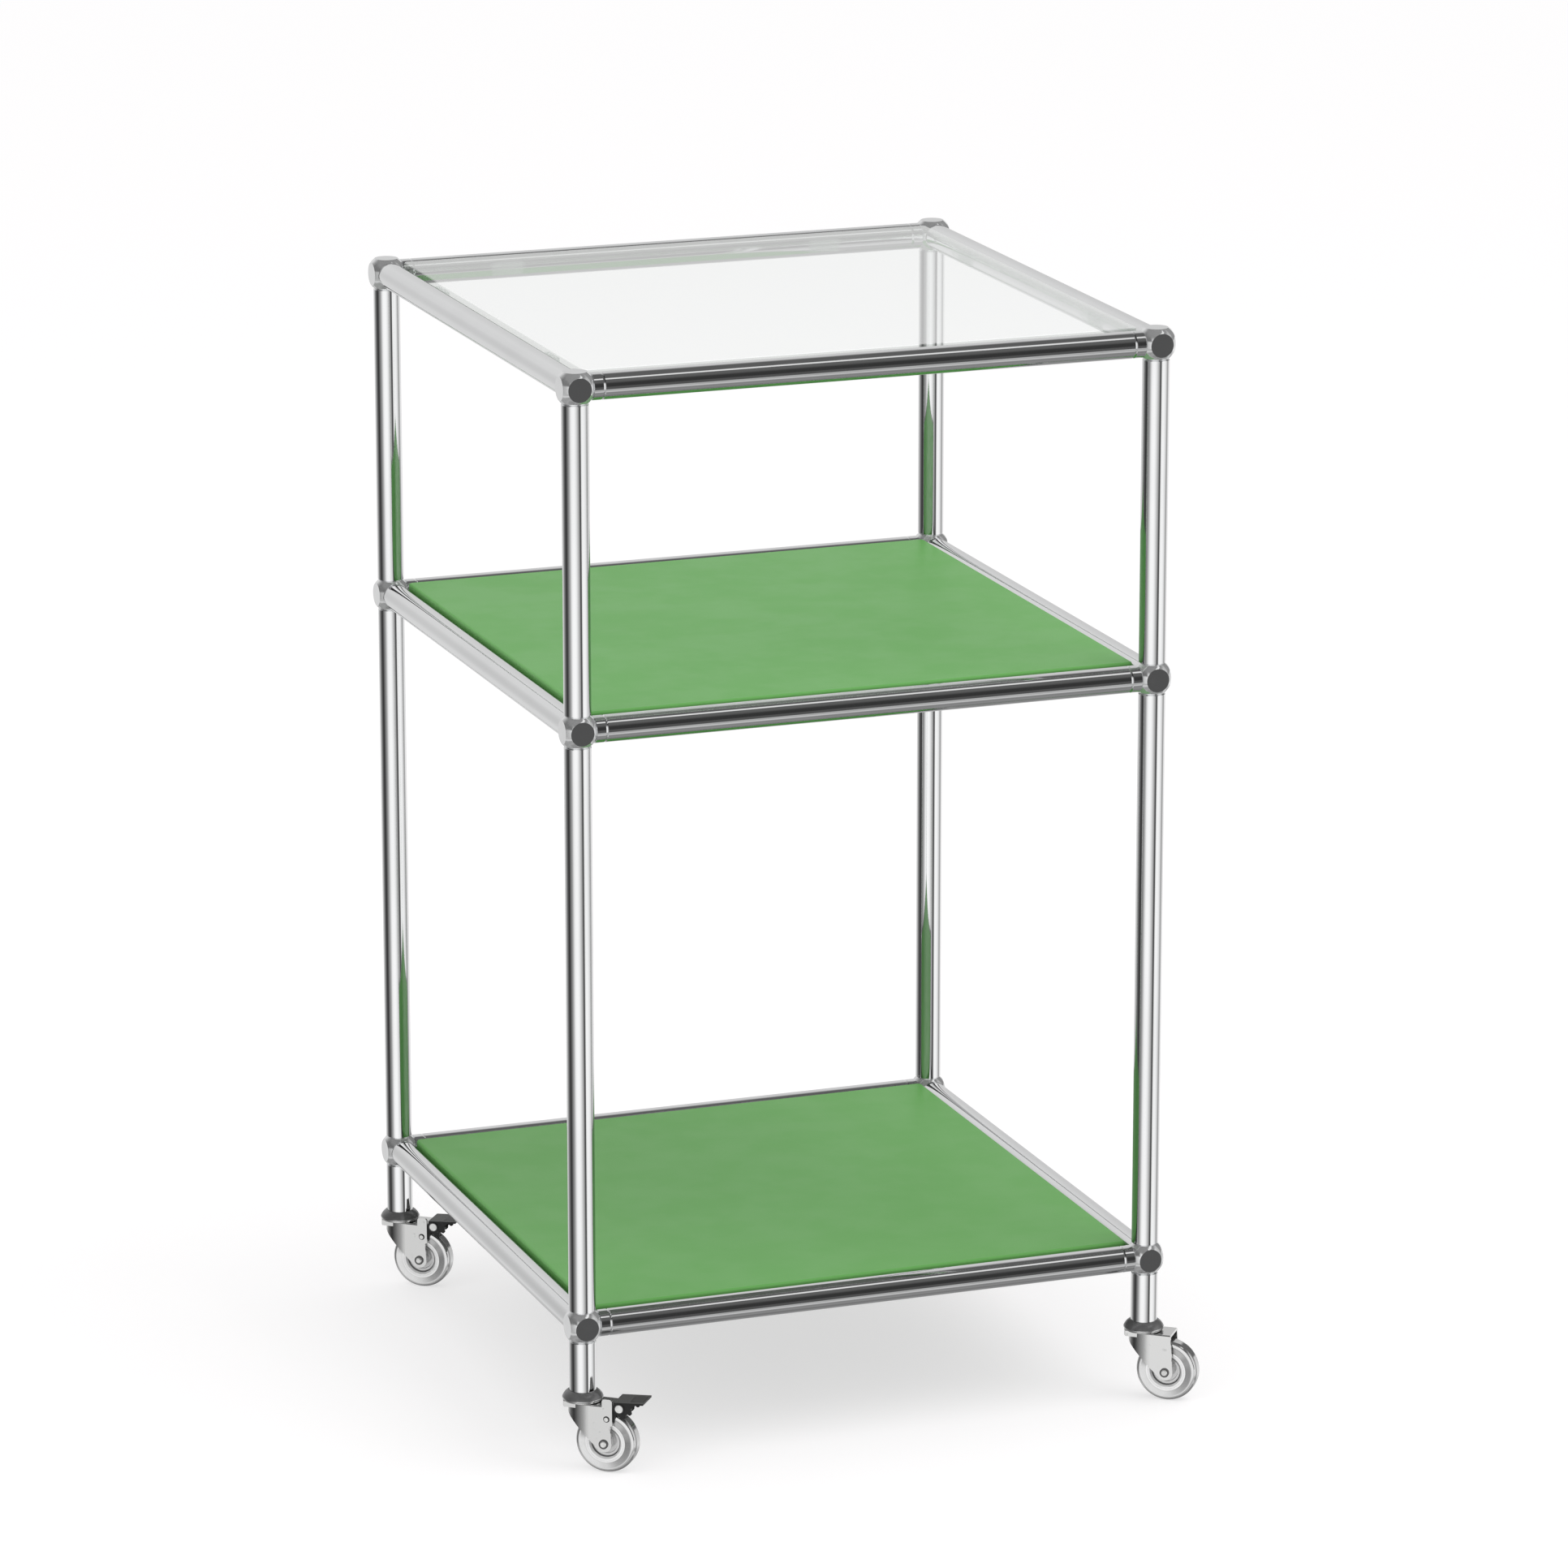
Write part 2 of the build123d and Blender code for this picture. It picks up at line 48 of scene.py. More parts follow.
class Nodes:
    # a node tree that is written left to right
    def __init__(self, tree):
        self.tree = tree
        tree.nodes.clear()

    def add(self, kind, settings=None, **inputs):
        node = self.tree.nodes.new(kind)
        for name, value in (settings or {}).items():
            setattr(node, name, value)
        for name, value in inputs.items():
            self.plug(node, name.replace("_", " "), value)
        return node

    def plug(self, node, name, value):
        numbered = name[0] == "n" and name[1:].isdigit()    # n0 is the node's first socket
        socket = node.inputs[int(name[1:]) if numbered else name]
        if isinstance(value, bpy.types.NodeSocket):
            self.tree.links.new(value, socket)
        elif isinstance(value, tuple) and len(value) == 3 and socket.type == "RGBA":
            socket.default_value = (*value, 1)
        else:
            socket.default_value = value

    def math(self, operation, a, b=0.0, c=0.0):
        return self.add("ShaderNodeMath", {"operation": operation}, n0=a, n1=b, n2=c).outputs[0]

    def span(self, value, low, high, start=0.0, end=1.0, smooth=True):
        # value from low to high, made into start to end
        settings = {"interpolation_type": "SMOOTHSTEP" if smooth else "LINEAR"}
        node = self.add("ShaderNodeMapRange", settings, Value=value)
        ends = {"From Min": low, "From Max": high, "To Min": start, "To Max": end}
        for name, number in ends.items():
            node.inputs[name].default_value = number
        return node.outputs[0]

    def ramp(self, value, stops):
        node = self.add("ShaderNodeValToRGB", Fac=value)
        elements = node.color_ramp.elements
        elements[0].position, elements[1].position = stops[0][0], stops[-1][0]
        for place, _ in stops[1:-1]:
            elements.new(place)
        for element, (_, shade) in zip(elements, stops):
            element.color = (shade, shade, shade, 1)
        return node.outputs["Color"]

    def vector(self, operation, a, b=(0.0, 0.0, 0.0), out="Vector"):
        return self.add("ShaderNodeVectorMath", {"operation": operation}, n0=a, n1=b).outputs[out]

    def band(self, value, low, high, edge):
        # 1 from low to high, fading to 0 over the edge on both sides
        rise = self.span(value, low - edge, low)
        fall = self.span(value, high, high + edge, 1.0, 0.0)
        return self.math("MULTIPLY", rise, fall)

    def aboutAxis(self, centre, axis):
        # distance from an axis, and place along it, in metres
        place = self.vector("SUBTRACT", self.add("ShaderNodeTexCoord").outputs["Object"], centre)
        along = self.vector("DOT_PRODUCT", place, axis, out="Value")
        foot = self.add("ShaderNodeVectorMath", {"operation": "SCALE"}, n0=axis, n3=along)
        outward = self.vector("SUBTRACT", place, foot.outputs["Vector"])
        return self.vector("LENGTH", outward, out="Value"), along

    def blend(self, factor, first, second, kind="MIX"):
        # a mix node's colours are its inputs 6 and 7 and its output 2
        node = self.add("ShaderNodeMix", {"data_type": "RGBA", "blend_type": kind})
        self.plug(node, "Factor", factor)
        self.plug(node, "n6", first)
        self.plug(node, "n7", second)
        return node.outputs[2]

    def noise(self, where, scale, detail=2.0, roughness=0.5):
        return self.add(
            "ShaderNodeTexNoise", Vector=where, Scale=scale, Detail=detail, Roughness=roughness,
        ).outputs["Fac"]

    def speckle(self, scale, detail=3.0):
        # the same noise along all three axes, scale cells to a metre
        return self.noise(self.stretched(scale, scale, scale), 1.0, detail)

    def stretched(self, x, y, z):
        # the object's own coordinates, in metres, scaled along each axis
        place = self.add("ShaderNodeTexCoord").outputs["Object"]
        return self.add("ShaderNodeMapping", Vector=place, Scale=(x, y, z)).outputs["Vector"]

    def surface(self):
        # which way the object's own surface faces
        normal = self.add("ShaderNodeTexCoord").outputs["Normal"]
        return self.add("ShaderNodeSeparateXYZ", Vector=normal).outputs

    def bump(self, height, distance, over=None):
        # distance is in metres; over is a finer bump that this one goes on
        inputs = {"Normal": over} if over is not None else {}
        return self.add(
            "ShaderNodeBump", Height=height, Distance=distance, Strength=1.0, **inputs,
        ).outputs["Normal"]


noiseMiddle = (0.3, 0.7)    # most of a noise lies between these
noiseWide = (0.2, 0.8)

studio = {
    # what polished metal sees round the room: degrees from the front, and how bright
    "panorama": (
        (-180, 0.71), (-163, 0.69), (-146, 0.40), (-131, 0.18), (-116, 0.07), (-106, 0.030),
        (-98, 0.07), (-85, 0.20), (-70, 0.42), (-58, 0.82), (-48, 0.97), (-30, 1.0),
        (-18, 0.90), (-4, 0.62), (8, 0.36), (17, 0.33), (26, 0.62), (36, 0.95), (52, 0.97),
        (72, 0.80), (88, 0.42), (98, 0.32), (108, 0.60), (122, 0.92), (136, 0.80),
        (150, 0.60), (166, 0.66), (180, 0.71),
    ),
    # dark screens: degrees from the front and how soft the sides are, sines of the heights where it
    # starts, is full, starts to fade and ends, and how bright
    "screens": (
        ((10, 34, 7), (-0.20, -0.08, 0.80, 1.0), 0.035),
        ((15, 25, 5), (-0.42, -0.34, -0.08, 0.0), 0.085),
        ((-112, -62, 12), (0.15, 0.35, 0.80, 1.0), 0.02),
        ((100, 131, 6), (0.0, 0.08, 0.80, 1.0), 0.13),
    ),
    "ceiling": 0.11,
    "ceilingLean": 0.22,                        # how much lower it comes at the front
    "ceilingFrom": 0.52, "ceilingTo": 0.80,
    # what it sees below: sine of the height, and how bright
    "ground": (
        (-0.95, 0.17), (-0.89, 0.27), (-0.82, 0.22), (-0.73, 0.26),
        (-0.67, 0.56), (-0.60, 0.58), (-0.54, 0.34), (-0.50, 0.40),
    ),
    # a thin light strip high in front, laid over the ceiling
    "strip": ((18, 66, 8), (0.800, 0.835, 0.880, 0.910), 0.80),
    "groundFrom": -0.36, "groundTo": -0.50,
    "daylight": 0.80,                           # what falls on everything from all round
    "backdrop": 1.0,                            # what the eye and the glass see
}
lamps = {
    # name: place, aims at, width, watts
    "key": ((1.5, -1.1, 2.5), (0, 0, 0.3), 2.2, 22),
    "fill": ((-2.1, -0.8, 1.6), (0, 0, 0.3), 1.8, 8),
}
floorLook = {
    "size": 30.0,
    "colour": 0.80,                   # for the light that it throws back on the trolley
    "seenColour": (0.485, 0.475, 0.48),         # as it looks: white, with a soft pale shadow
    "glow": 0.60,
}


def hangScreen(n, seen, azimuth, height, screen):
    sides, (start, full, top, end), shade = screen
    upright = n.math("MULTIPLY", n.span(height, start, full), n.span(height, top, end, 1.0, 0.0))
    return n.blend(n.math("MULTIPLY", n.band(azimuth, *sides), upright), seen, (shade,) * 3)


def lightStudio():
    world = bpy.data.worlds.new("studio")
    bpy.context.scene.world = world
    world.use_nodes = True
    n = Nodes(world.node_tree)
    direction = n.add("ShaderNodeTexCoord").outputs["Generated"]
    xyz = n.add("ShaderNodeSeparateXYZ", Vector=direction)
    height = xyz.outputs["Z"]
    front = n.math("MULTIPLY", xyz.outputs["Y"], -1.0)
    azimuth = n.math("MULTIPLY", n.math("ARCTAN2", xyz.outputs["X"], front), 180 / math.pi)
    turn = n.math("MULTIPLY_ADD", azimuth, 1 / 360, 0.5)
    seen = n.ramp(turn, [(angle / 360 + 0.5, shade) for angle, shade in studio["panorama"]])
    for screen in studio["screens"]:
        seen = hangScreen(n, seen, azimuth, height, screen)
    lean = n.math("MULTIPLY_ADD", front, studio["ceilingLean"], height)
    overhead = n.span(lean, studio["ceilingFrom"], studio["ceilingTo"])
    seen = n.blend(overhead, seen, (studio["ceiling"],) * 3)
    seen = hangScreen(n, seen, azimuth, height, studio["strip"])
    below = [(sine + 1, shade) for sine, shade in studio["ground"]]
    ground = n.ramp(n.math("ADD", height, 1.0), below)
    seen = n.blend(n.span(height, studio["groundFrom"], studio["groundTo"]), seen, ground)
    path = n.add("ShaderNodeLightPath")
    backdrop = n.math("MAXIMUM", path.outputs["Is Camera Ray"], path.outputs["Is Transmission Ray"])
    soft = (studio["daylight"],) * 3
    colour = n.blend(path.outputs["Is Glossy Ray"], soft, seen)
    colour = n.blend(backdrop, colour, (studio["backdrop"],) * 3)
    background = n.add("ShaderNodeBackground", Color=colour)
    n.add("ShaderNodeOutputWorld", Surface=background.outputs["Background"])


def hangLamps():
    for name, (place, target, width, watts) in lamps.items():
        lamp = bpy.data.lights.new(name, "AREA")
        lamp.shape = "DISK"
        lamp.size = width
        lamp.energy = watts
        holder = bpy.data.objects.new(name, lamp)
        bpy.context.scene.collection.objects.link(holder)
        holder.location = place
        aim = [b - a for a, b in zip(place, target)]
        turn = math.atan2(aim[1], aim[0]) - math.pi / 2
        tilt = math.atan2(math.hypot(aim[0], aim[1]), -aim[2])
        holder.rotation_euler = (tilt, 0, turn)
        holder.visible_glossy = False


def layFloor():
    half = floorLook["size"] / 2
    mesh = bpy.data.meshes.new("floor")
    square = [(-half, -half, 0), (half, -half, 0), (half, half, 0), (-half, half, 0)]
    mesh.from_pydata(square, [], [(0, 1, 2, 3)])
    floor = bpy.data.objects.new("floor", mesh)
    bpy.context.scene.collection.objects.link(floor)
    material = bpy.data.materials.new("paleFloor")
    material.use_nodes = True
    n = Nodes(material.node_tree)
    path = n.add("ShaderNodeLightPath")
    seen = n.math("MAXIMUM", path.outputs["Is Camera Ray"], path.outputs["Is Transmission Ray"])
    shade = n.blend(seen, (floorLook["colour"],) * 3, floorLook["seenColour"])
    matt = n.add("ShaderNodeBsdfDiffuse", Color=shade)
    strength = n.math("MULTIPLY", seen, floorLook["glow"])
    glow = n.add("ShaderNodeEmission", Color=(1.0, 1.0, 1.0), Strength=strength)
    both = n.add("ShaderNodeAddShader", n0=matt.outputs[0], n1=glow.outputs[0])
    n.add("ShaderNodeOutputMaterial", Surface=both.outputs[0])
    mesh.materials.append(material)
    floor.visible_glossy = False


def newFinish(name):
    material = bpy.data.materials.new(name)
    material.use_nodes = True
    return material, Nodes(material.node_tree)


def principled(n, **inputs):
    shader = n.add("ShaderNodeBsdfPrincipled", **inputs)
    n.add("ShaderNodeOutputMaterial", Surface=shader.outputs["BSDF"])
    return shader


chrome = {
    "colour": (0.93, 0.935, 0.94),
    "smudged": (0.90, 0.905, 0.91),
    "polish": (0.035, 0.075),         # roughness, from clean to handled
    "lineRough": 0.02,
    "lines": 0.0000008,               # height of the polishing lines, in metres
    "lineScale": (900, 60),           # cells to a metre, along the tube and round it
    "patchScale": 9, "patchSoftness": 0.55,
    "patchSpan": (0.42, 0.68),
}


def chromeTube(axis):
    # plated tube: faint lines left by polishing run round it, and a few handled patches
    material, n = newFinish(f"chromeTube{axis}")
    along, around = chrome["lineScale"]
    scales = [along if side == axis else around for side in "XYZ"]
    lines = n.noise(n.stretched(*scales), 1.0, detail=3.0)
    handled = n.noise(n.stretched(*[chrome["patchScale"]] * 3), 1.0, 3.0, chrome["patchSoftness"])
    patches = n.span(handled, *chrome["patchSpan"])
    colour = n.blend(patches, chrome["colour"], chrome["smudged"])
    polish = n.span(patches, 0, 1, *chrome["polish"])
    rough = n.math("MULTIPLY_ADD", lines, chrome["lineRough"], polish)
    principled(n, Base_Color=colour, Metallic=1.0, Roughness=rough,
               Normal=n.bump(lines, chrome["lines"]))
    return material


ball = {
    "flatFrom": 0.990, "flatAt": 0.999,   # how squarely a face looks along an axis when it is a flat
    "roundMetallic": 0.81,            # the round part is plated less dark than the flats
    "fineScale": 700,
    "patchScale": 60, "patchSpan": (0.4, 0.7),
}


def chromeBall():
    material, n = newFinish("chromeBall")
    normal = n.surface()
    sides = [n.math("ABSOLUTE", normal[axis]) for axis in "XYZ"]
    squarely = n.math("MAXIMUM", n.math("MAXIMUM", sides[0], sides[1]), sides[2])
    metallic = n.span(squarely, ball["flatFrom"], ball["flatAt"], ball["roundMetallic"], 1.0)
    fine = n.speckle(ball["fineScale"])
    patches = n.span(n.speckle(ball["patchScale"]), *ball["patchSpan"])
    colour = n.blend(patches, chrome["colour"], chrome["smudged"])
    polish = n.span(patches, 0, 1, *chrome["polish"])
    rough = n.math("MULTIPLY_ADD", fine, chrome["lineRough"], polish)
    principled(n, Base_Color=colour, Metallic=metallic, Roughness=rough,
               Normal=n.bump(fine, chrome["lines"]))
    return material


cap = {
    "dome": (0.20, 0.20, 0.202),
    "handled": (0.18, 0.18, 0.182),
    "rim": (0.72, 0.72, 0.72),
    "rimTop": 0.0475, "rimFade": 0.0003,  # height of the rim's upper edge, and how softly it ends
    "metallic": (0.55, 1.0),          # dome, rim
    "rough": (0.22, 0.28),
    "spunScale": (150, 150, 2500),
    "spun": 0.000001,
    "patchScale": 120, "patchSpan": (0.4, 0.7),
}


def smokyChrome():
    # the casters' caps: a dark smoky dome over a bright rim
    material, n = newFinish("smokyChrome")
    spun = n.noise(n.stretched(*cap["spunScale"]), 1.0, detail=2.0)
    patches = n.span(n.speckle(cap["patchScale"]), *cap["patchSpan"])
    height = n.add("ShaderNodeSeparateXYZ", Vector=n.stretched(1, 1, 1)).outputs["Z"]
    rim = n.span(height, cap["rimTop"], cap["rimTop"] + cap["rimFade"], 1.0, 0.0)
    colour = n.blend(rim, n.blend(patches, cap["dome"], cap["handled"]), cap["rim"])
    rough = n.span(spun, *noiseWide, *cap["rough"], smooth=False)
    principled(n, Base_Color=colour, Metallic=n.span(rim, 0, 1, *cap["metallic"]), Roughness=rough,
               Normal=n.bump(spun, cap["spun"]))
    return material


plate = {
    "colour": (0.79, 0.79, 0.785),
    "fleck": (0.72, 0.72, 0.715),
    "rough": (0.12, 0.20), "grainRough": 0.04,
    "grainScale": (400, 400, 2600),
    "grain": 0.000001,
    "fleckScale": 350, "fleckSpan": (0.62, 0.74),
}


def brightPlate():
    # pressed and bright-plated sheet: a soft rolled grain and the odd dull fleck
    material, n = newFinish("brightPlate")
    grain = n.noise(n.stretched(*plate["grainScale"]), 1.0, detail=3.0)
    flecks = n.span(n.speckle(plate["fleckScale"], detail=4.0), *plate["fleckSpan"])
    colour = n.blend(flecks, plate["colour"], plate["fleck"])
    dull = n.span(flecks, 0, 1, *plate["rough"])
    rough = n.math("MULTIPLY_ADD", grain, plate["grainRough"], dull)
    principled(n, Base_Color=colour, Metallic=1.0, Roughness=rough,
               Normal=n.bump(grain, plate["grain"]))
    return material


steel = {
    "colour": (0.90, 0.90, 0.89),
    "worn": (0.78, 0.78, 0.77),
    # painted shade: the colour of the dark ring painted in the groove round each head
    "groove": (0.10, 0.10, 0.10), "grooveFade": 0.00025,
    "wornSpan": (0.35, 0.7),
    "rough": (0.14, 0.24),
    "ringScale": 1800, "rings": 0.000001,
    "patchScale": 260,
    "headRough": (0.16, 0.26), "headMetallic": 0.6,
    "headScale": 400, "headDents": 0.000003,
}


def turnedSteel():
    material, n = newFinish("turnedSteel")
    rings = n.speckle(steel["ringScale"], detail=2.0)
    patches = n.speckle(steel["patchScale"])
    colour = n.blend(n.span(patches, *steel["wornSpan"]), steel["colour"], steel["worn"])
    rough = n.span(rings, *noiseWide, *steel["rough"], smooth=False)
    principled(n, Base_Color=colour, Metallic=1.0, Roughness=rough,
               Normal=n.bump(rings, steel["rings"]))
    return material


def rivetHead(name, heads, axis):
    # steel heads with painted shade: a dark ring is painted round each, where the groove's shade
    # falls; heads are (centre, bright radius, outside of the groove)
    material, n = newFinish(name)
    patches = n.speckle(steel["headScale"])
    colour = n.blend(n.span(patches, *steel["wornSpan"]), steel["colour"], steel["worn"])
    for centre, bright, groove in heads:
        radius, _ = n.aboutAxis(centre, axis)
        # painted shade: the groove round the head is darkened
        paintedGrooveShade = n.band(radius, bright, groove, steel["grooveFade"])
        colour = n.blend(paintedGrooveShade, colour, steel["groove"])
    rough = n.span(patches, *noiseMiddle, *steel["headRough"])
    principled(n, Base_Color=colour, Metallic=steel["headMetallic"], Roughness=rough,
               Normal=n.bump(patches, steel["headDents"]))
    return material


green = {
    "colour": (0.160, 0.452, 0.118),
    "deeper": (0.154, 0.442, 0.112),
    "cloudScale": 5.0, "cloudSpan": (0.35, 0.65),
    "rough": (0.36, 0.44), "roughScale": 30.0,
    "peel": 0.0000022,                # height of the coat's orange peel
    "peelScale": 900.0, "peelSoftness": 0.45,
    "gloss": 0.22,
    "paintedReflection": (0.020, 0.090, 0.020), "paintedReflectionShare": 0.55,   # painted reflection: the tubes mirror it in this darker green
    "paintedBounceGrey": (0.16, 0.165, 0.16),    # painted bounce light: its underside, as all but the eye get it, is neutral grey, so the light it throws and its mirror images carry no green
    "belowSpan": (-0.95, -0.8),           # how far down a face looks when it is the underside
}


def powderCoat():
    material, n = newFinish("powderCoat")
    place = n.stretched(1, 1, 1)
    peel = n.noise(place, green["peelScale"], 2.0, green["peelSoftness"])
    cloud = n.span(n.noise(place, green["cloudScale"]), *green["cloudSpan"])
    colour = n.blend(cloud, green["colour"], green["deeper"])
    path = n.add("ShaderNodeLightPath")
    # painted reflection: to mirrored rays the coat turns a darker green
    paintedReflection = n.math("MULTIPLY", path.outputs["Is Glossy Ray"], green["paintedReflectionShare"])
    colour = n.blend(paintedReflection, colour, green["paintedReflection"])
    # painted bounce light: to all rays but the camera's, downward faces turn neutral grey
    unseen = n.math("SUBTRACT", 1.0, path.outputs["Is Camera Ray"])
    underside = n.span(n.surface()["Z"], *green["belowSpan"], 1.0, 0.0)
    below = n.math("MULTIPLY", underside, unseen)
    colour = n.blend(below, colour, green["paintedBounceGrey"])
    rough = n.span(n.noise(place, green["roughScale"], detail=3.0), *noiseMiddle, *green["rough"])
    principled(n, Base_Color=colour, Roughness=rough, Specular_IOR_Level=green["gloss"],
               Normal=n.bump(peel, green["peel"]))
    return material


glass = {
    "clear": (0.985, 0.995, 0.990),
    "paintedReflectionVeil": (0.95, 0.95, 0.95),       # painted reflection: a white diffuse veil standing in for the bright room mirrored in both faces
    "veilShare": (0.14, 0.56),        # head-on, and at a low angle
    "veilPower": 2.0,                 # how late it comes
    "edge": (0.50, 0.52, 0.50),       # the cut edges, which show the glass's own green
    "edgeClear": (0.95, 0.96, 0.95),
    "edgeShare": 0.30,                # how much of the edge shows
    "edgeRough": 0.18,
    "edgeSpan": (0.5, 0.65),          # how upright a face looks, from the edge to the pane
    "gloss": 1.18,
    "wipeScale": (14, 40, 14), "wipeSpan": (0.45, 0.75), "wipeRough": (0.01, 0.04),
    "waveScale": 5, "wave": 0.00001,
}


def clearGlass():
    material, n = newFinish("clearGlass")
    wipe = n.noise(n.stretched(*glass["wipeScale"]), 1.0, detail=4.0)
    rough = n.span(wipe, *glass["wipeSpan"], *glass["wipeRough"])
    wave = n.bump(n.speckle(glass["waveScale"], detail=2.0), glass["wave"])
    sheen = n.add("ShaderNodeBsdfGlossy", Color=(1.0, 1.0, 1.0), Roughness=rough, Normal=wave)
    clear = n.add("ShaderNodeBsdfTransparent", Color=glass["clear"])
    outside = n.math("SUBTRACT", 1.0, n.add("ShaderNodeNewGeometry").outputs["Backfacing"])
    share = n.math("MULTIPLY", n.add("ShaderNodeFresnel", IOR=glass["gloss"]).outputs[0], outside)
    facing = n.add("ShaderNodeLayerWeight", Blend=0.5).outputs["Facing"]
    low = n.math("POWER", facing, glass["veilPower"])
    pale = n.math("MULTIPLY", n.span(low, 0, 1, *glass["veilShare"], smooth=False), outside)
    # painted reflection: a white diffuse layer stands in for the room mirrored in the faces
    paintedReflectionVeil = n.add("ShaderNodeBsdfDiffuse", Color=glass["paintedReflectionVeil"])
    pane = n.add("ShaderNodeMixShader", n0=pale, n1=clear.outputs[0], n2=paintedReflectionVeil.outputs[0])
    pane = n.add("ShaderNodeMixShader", n0=share, n1=pane.outputs[0], n2=sheen.outputs[0])
    cut = n.add("ShaderNodeBsdfPrincipled", Base_Color=glass["edge"], Roughness=glass["edgeRough"])
    edgeClear = n.add("ShaderNodeBsdfTransparent", Color=glass["edgeClear"])
    edge = n.add("ShaderNodeMixShader", n0=glass["edgeShare"], n1=edgeClear.outputs[0],
                 n2=cut.outputs[0])
    onPane = n.span(n.math("ABSOLUTE", n.surface()["Z"]), *glass["edgeSpan"])
    both = n.add("ShaderNodeMixShader", n0=onPane, n1=edge.outputs[0], n2=pane.outputs[0])
    n.add("ShaderNodeOutputMaterial", Surface=both.outputs[0])
    return material


clearClip = {
    "body": (0.86, 0.88, 0.87),
    "clear": (0.95, 0.96, 0.955),
    "share": 0.16,                    # how much of it shows
    "rough": (0.10, 0.2),
    "flowScale": (300, 300, 120), "flow": 0.000005,
}
greyClip = {
    "colour": (0.50, 0.52, 0.50),
    "darker": (0.44, 0.46, 0.44),
    "rough": (0.42, 0.58),
    "grainScale": 1500, "grain": 0.00002,
}


def clearPlastic():
    material, n = newFinish("clearPlastic")
    flow = n.noise(n.stretched(*clearClip["flowScale"]), 1.0, detail=3.0)
    rough = n.span(flow, *noiseMiddle, *clearClip["rough"])
    body = n.add("ShaderNodeBsdfPrincipled", Base_Color=clearClip["body"], Roughness=rough,
                 Normal=n.bump(flow, clearClip["flow"]))
    clear = n.add("ShaderNodeBsdfTransparent", Color=clearClip["clear"])
    both = n.add("ShaderNodeMixShader", n0=clearClip["share"], n1=clear.outputs[0],
                 n2=body.outputs[0])
    n.add("ShaderNodeOutputMaterial", Surface=both.outputs[0])
    return material


def greyPlastic():
    material, n = newFinish("greyPlastic")
    grain = n.speckle(greyClip["grainScale"])
    colour = n.blend(n.span(grain, *noiseMiddle), greyClip["colour"], greyClip["darker"])
    rough = n.span(grain, *noiseWide, *greyClip["rough"])
    principled(n, Base_Color=colour, Roughness=rough, Normal=n.bump(grain, greyClip["grain"]))
    return material


wheel = {
    # metres from the axle, and how bright it is there: the moulding's own tone, with painted
    # highlights and painted shade on the rings of its steps and grooves
    "core": (
        (0.0, 0.50), (0.0050, 0.75), (0.0080, 0.88), (0.0088, 0.70), (0.0091, 0.12),
        (0.0095, 0.12), (0.0098, 0.95), (0.0110, 1.0), (0.0126, 1.0), (0.0130, 0.85),
    ),
    "tyre": (
        (0.0, 0.97), (0.0128, 0.97), (0.0133, 0.70), (0.0140, 0.74), (0.0165, 0.76),
        (0.0180, 0.82), (0.0188, 0.95), (0.0193, 0.72), (0.0197, 0.60), (0.0202, 0.60),
    ),
    "metallic": {"core": 0.30, "tyre": 0.90},
    "reach": 0.0210,
    "coat": 0.8, "coatRough": 0.03,
    "dish": (0.0131, 0.0188, 0.0013),     # the clear flank falls in to the core: from, to, how deep
    "rough": (0.05, 0.09), "scuffRough": 0.06,
    "tint": (0.985, 0.985, 0.985),
    "cloudy": (0.95, 0.95, 0.95),
    "flowScale": 160, "flow": 0.000002,
    "tintSpan": (0.35, 0.65),
    "scuffScale": 600, "scuffSpan": (0.64, 0.76),
}


def wheelFinish(name, piece, joint):
    # clear moulded wheel with a bright core: painted highlights and painted shade mark its steps as
    # rings about the axle
    material, n = newFinish(name)
    reach = wheel["reach"]
    radius, _ = n.aboutAxis(tuple(joint["pos_m"]), tuple(joint["axis"]))
    # the moulding's own tone, with painted highlight and painted shade rings by radius
    toneWithPaintedRings = n.ramp(n.math("DIVIDE", radius, reach), [(r / reach, shade) for r, shade in wheel[piece]])
    flow = n.speckle(wheel["flowScale"])
    scuff = n.span(n.speckle(wheel["scuffScale"], detail=4.0), *wheel["scuffSpan"])
    tint = n.blend(n.span(flow, *wheel["tintSpan"]), wheel["tint"], wheel["cloudy"])
    colour = n.blend(1.0, toneWithPaintedRings, tint, "MULTIPLY")
    clean = n.span(flow, *noiseMiddle, *wheel["rough"])
    rough = n.math("MULTIPLY_ADD", scuff, wheel["scuffRough"], clean)
    start, end, depth = wheel["dish"]
    fine = n.bump(flow, wheel["flow"])
    normal = n.bump(n.span(radius, start, end, smooth=False), depth, fine)
    principled(n, Base_Color=colour, Roughness=rough, Metallic=wheel["metallic"][piece],
               Coat_Weight=wheel["coat"], Coat_Roughness=wheel["coatRough"], Normal=normal)
    return material


pedal = {
    "colour": (0.016, 0.016, 0.016),
    "worn": (0.040, 0.040, 0.040),
    "paintedTopLight": (0.105, 0.105, 0.103),       # painted top light: its upward faces a lighter grey
    "topLightSpan": (0.75, 0.95),            # how far up a face looks when it gets the painted top light
    "rough": (0.34, 0.48),
    "gloss": 0.35,
    "grainScale": 1800, "grain": 0.000008,
    "wornScale": 240, "wornSpan": (0.6, 0.8),
    "print": (0.0065, 0.0145, 0.0050),    # pressed field: its ends from the pin, half its width
    "printRim": 0.0006,
    "printDepth": 0.00012,
    "printShare": 0.3,                    # how much blacker the field is
}


